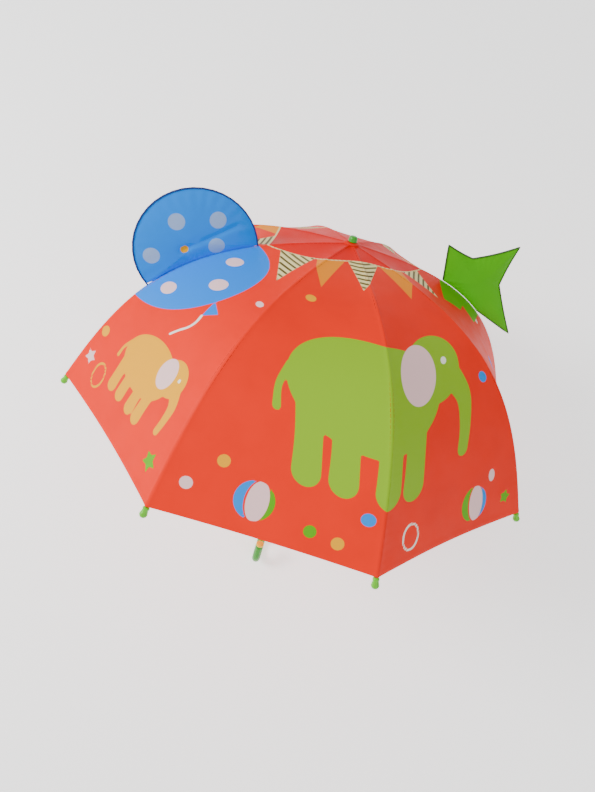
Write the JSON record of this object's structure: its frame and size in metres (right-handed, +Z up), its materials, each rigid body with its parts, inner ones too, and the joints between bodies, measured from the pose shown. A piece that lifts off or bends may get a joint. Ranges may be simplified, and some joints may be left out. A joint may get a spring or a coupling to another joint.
{
  "type": "children's umbrella",
  "caption": "Open children's umbrella: domed printed canopy on folding ribs, two cloth ears, steel shaft with a sliding runner, J-hook handle.",
  "frame": {"origin": "on the floor, below the middle of the bounding box", "axes": "+Z up, the umbrella lying open on two rib tips and the bend of its handle; +X to the right across the canopy; the shaft leans in the YZ plane, from the handle at -Y up to the ferrule"},
  "size_m": [0.6932, 0.5786, 0.5438],
  "materials": {
    "shaft_steel": "bright plated steel tube, drawn",
    "frame_steel": "zinc plated spring steel wire, satin",
    "pin_steel": "small plated steel pins and wire",
    "spring_steel": "bent spring steel leaf",
    "white_plastic": "moulded white plastic",
    "green_plastic": "moulded green plastic, semi-gloss",
    "yellow_plastic": "moulded yellow plastic, semi-gloss",
    "lime_plastic": "moulded lime plastic, semi-gloss",
    "canopy_cloth": "orange-red woven polyester, printed",
    "balloon_cloth": "blue woven polyester, lightly padded",
    "navy_piping": "dark blue bound edge with a flexible core",
    "star_cloth": "green woven polyester, lightly padded",
    "dark_green_piping": "dark green bound edge with a flexible core"
  },
  "bodies": {
    "stick": {"shaft": "shaft_steel", "top_notch": "white_plastic", "notch_wire": "pin_steel", "notch_pin": "pin_steel", "stop_pin": "pin_steel", "rain_washer": "canopy_cloth", "ferrule": "green_plastic", "handle_hook": "green_plastic", "hook_plug": "yellow_plastic", "handle_collar": "yellow_plastic"},
    "rib_A_set": {"rib_A": "frame_steel", "tip_A": "lime_plastic", "rivet_A": "pin_steel", "panel_AB": "canopy_cloth", "balloon_ear": "balloon_cloth", "balloon_piping": "navy_piping"},
    "rib_B_set": {"rib_B": "frame_steel", "tip_B": "lime_plastic", "rivet_B": "pin_steel", "panel_BC": "canopy_cloth"},
    "rib_C_set": {"rib_C": "frame_steel", "tip_C": "lime_plastic", "rivet_C": "pin_steel", "panel_CD": "canopy_cloth"},
    "rib_D_set": {"rib_D": "frame_steel", "tip_D": "lime_plastic", "rivet_D": "pin_steel", "panel_DE": "canopy_cloth"},
    "rib_E_set": {"rib_E": "frame_steel", "tip_E": "lime_plastic", "rivet_E": "pin_steel", "panel_EF": "canopy_cloth", "star_ear": "star_cloth", "star_piping": "dark_green_piping"},
    "rib_F_set": {"rib_F": "frame_steel", "tip_F": "lime_plastic", "rivet_F": "pin_steel", "panel_FG": "canopy_cloth"},
    "rib_G_set": {"rib_G": "frame_steel", "tip_G": "lime_plastic", "rivet_G": "pin_steel", "panel_GH": "canopy_cloth", "tie_strap": "canopy_cloth", "tie_snap": "lime_plastic"},
    "rib_H_set": {"rib_H": "frame_steel", "tip_H": "lime_plastic", "rivet_H": "pin_steel", "panel_HA": "canopy_cloth"},
    "stretcher_A_set": {"stretcher_A": "frame_steel"},
    "stretcher_B_set": {"stretcher_B": "frame_steel"},
    "stretcher_C_set": {"stretcher_C": "frame_steel"},
    "stretcher_D_set": {"stretcher_D": "frame_steel"},
    "stretcher_E_set": {"stretcher_E": "frame_steel"},
    "stretcher_F_set": {"stretcher_F": "frame_steel"},
    "stretcher_G_set": {"stretcher_G": "frame_steel"},
    "stretcher_H_set": {"stretcher_H": "frame_steel"},
    "runner_set": {"runner": "white_plastic", "runner_wire": "pin_steel"},
    "open_catch_set": {"open_catch": "spring_steel"},
    "closed_catch_set": {"closed_catch": "spring_steel"}
  },
  "joints": [
    {"name": "rib_A_fold", "type": "hinge", "parent": "stick", "child": "rib_A_set", "pos_m": [-0.00647, 0.18288, 0.43673], "axis": [0.3827, -0.6469, 0.6596], "range_deg": [0, 52], "deforming": ["panel_AB"]},
    {"name": "canopy_fold", "type": "hinge", "parent": "stick", "child": "rib_B_set", "pos_m": [-0.00268, 0.18023, 0.43943], "axis": [0.9239, -0.2679, 0.2732], "range_deg": [0, 52], "deforming": ["panel_BC"]},
    {"name": "rib_C_fold", "type": "hinge", "parent": "stick", "child": "rib_C_set", "pos_m": [0.00268, 0.18023, 0.43943], "axis": [0.9239, 0.2679, -0.2732], "range_deg": [0, 52], "deforming": ["panel_CD"]},
    {"name": "rib_D_fold", "type": "hinge", "parent": "stick", "child": "rib_D_set", "pos_m": [0.00647, 0.18288, 0.43673], "axis": [0.3827, 0.6469, -0.6596], "range_deg": [0, 52], "deforming": ["panel_DE"]},
    {"name": "rib_E_fold", "type": "hinge", "parent": "stick", "child": "rib_E_set", "pos_m": [0.00647, 0.18663, 0.4329], "axis": [-0.3827, 0.6469, -0.6596], "range_deg": [0, 52], "deforming": ["panel_EF"]},
    {"name": "rib_F_fold", "type": "hinge", "parent": "stick", "child": "rib_F_set", "pos_m": [0.00268, 0.18929, 0.4302], "axis": [-0.9239, 0.2679, -0.2732], "range_deg": [0, 52], "deforming": ["panel_FG"]},
    {"name": "rib_G_fold", "type": "hinge", "parent": "stick", "child": "rib_G_set", "pos_m": [-0.00268, 0.18929, 0.4302], "axis": [-0.9239, -0.2679, 0.2732], "range_deg": [0, 52], "deforming": ["panel_GH", "tie_strap", "tie_snap"]},
    {"name": "rib_H_fold", "type": "hinge", "parent": "stick", "child": "rib_H_set", "pos_m": [-0.00647, 0.18663, 0.4329], "axis": [-0.3827, -0.6469, 0.6596], "range_deg": [0, 52], "deforming": ["panel_HA"]},
    {"name": "stretcher_A_fold", "type": "hinge", "parent": "rib_A_set", "child": "stretcher_A_set", "pos_m": [-0.17187, 0.09983, 0.45123], "axis": [0.3827, -0.6469, 0.6596], "range_deg": [-104, 0]},
    {"name": "stretcher_B_fold", "type": "hinge", "parent": "rib_B_set", "child": "stretcher_B_set", "pos_m": [-0.07119, 0.02934, 0.52312], "axis": [0.9239, -0.2679, 0.2732], "range_deg": [-104, 0]},
    {"name": "stretcher_C_fold", "type": "hinge", "parent": "rib_C_set", "child": "stretcher_C_set", "pos_m": [0.07119, 0.02934, 0.52312], "axis": [0.9239, 0.2679, -0.2732], "range_deg": [-104, 0]},
    {"name": "stretcher_D_fold", "type": "hinge", "parent": "rib_D_set", "child": "stretcher_D_set", "pos_m": [0.17187, 0.09983, 0.45123], "axis": [0.3827, 0.6469, -0.6596], "range_deg": [-104, 0]},
    {"name": "stretcher_E_fold", "type": "hinge", "parent": "rib_E_set", "child": "stretcher_E_set", "pos_m": [0.17187, 0.19951, 0.34958], "axis": [-0.3827, 0.6469, -0.6596], "range_deg": [-104, 0]},
    {"name": "stretcher_F_fold", "type": "hinge", "parent": "rib_F_set", "child": "stretcher_F_set", "pos_m": [0.07119, 0.27, 0.2777], "axis": [-0.9239, 0.2679, -0.2732], "range_deg": [-104, 0]},
    {"name": "stretcher_G_fold", "type": "hinge", "parent": "rib_G_set", "child": "stretcher_G_set", "pos_m": [-0.07119, 0.27, 0.2777], "axis": [-0.9239, -0.2679, 0.2732], "range_deg": [-104, 0]},
    {"name": "stretcher_H_fold", "type": "hinge", "parent": "rib_H_set", "child": "stretcher_H_set", "pos_m": [-0.17187, 0.19951, 0.34958], "axis": [-0.3827, -0.6469, 0.6596], "range_deg": [-104, 0]},
    {"name": "runner_pivot", "type": "hinge", "parent": "stretcher_B_set", "child": "runner_set", "pos_m": [-0.00268, 0.11005, 0.37061], "axis": [0.9239, -0.2679, 0.2732], "range_deg": [0, 52]},
    {"name": "open_catch_press", "type": "slide", "parent": "stick", "child": "open_catch_set", "axis": [0, 0.7002, -0.714], "range_m": [0, 0.0022], "stiffness_N_per_m": 1200, "springref_m": -0.0005},
    {"name": "closed_catch_press", "type": "slide", "parent": "stick", "child": "closed_catch_set", "axis": [0, 0.7002, -0.714], "range_m": [0, 0.0022], "stiffness_N_per_m": 1200, "springref_m": -0.0005}
  ],
  "couplings": [
    {"joint": "rib_A_fold", "follows": "canopy_fold", "ratio": 1},
    {"joint": "rib_C_fold", "follows": "canopy_fold", "ratio": 1},
    {"joint": "rib_D_fold", "follows": "canopy_fold", "ratio": 1},
    {"joint": "rib_E_fold", "follows": "canopy_fold", "ratio": 1},
    {"joint": "rib_F_fold", "follows": "canopy_fold", "ratio": 1},
    {"joint": "rib_G_fold", "follows": "canopy_fold", "ratio": 1},
    {"joint": "rib_H_fold", "follows": "canopy_fold", "ratio": 1},
    {"joint": "stretcher_A_fold", "follows": "canopy_fold", "ratio": -2},
    {"joint": "stretcher_B_fold", "follows": "canopy_fold", "ratio": -2},
    {"joint": "stretcher_C_fold", "follows": "canopy_fold", "ratio": -2},
    {"joint": "stretcher_D_fold", "follows": "canopy_fold", "ratio": -2},
    {"joint": "stretcher_E_fold", "follows": "canopy_fold", "ratio": -2},
    {"joint": "stretcher_F_fold", "follows": "canopy_fold", "ratio": -2},
    {"joint": "stretcher_G_fold", "follows": "canopy_fold", "ratio": -2},
    {"joint": "stretcher_H_fold", "follows": "canopy_fold", "ratio": -2},
    {"joint": "runner_pivot", "follows": "canopy_fold", "ratio": 1}
  ]
}
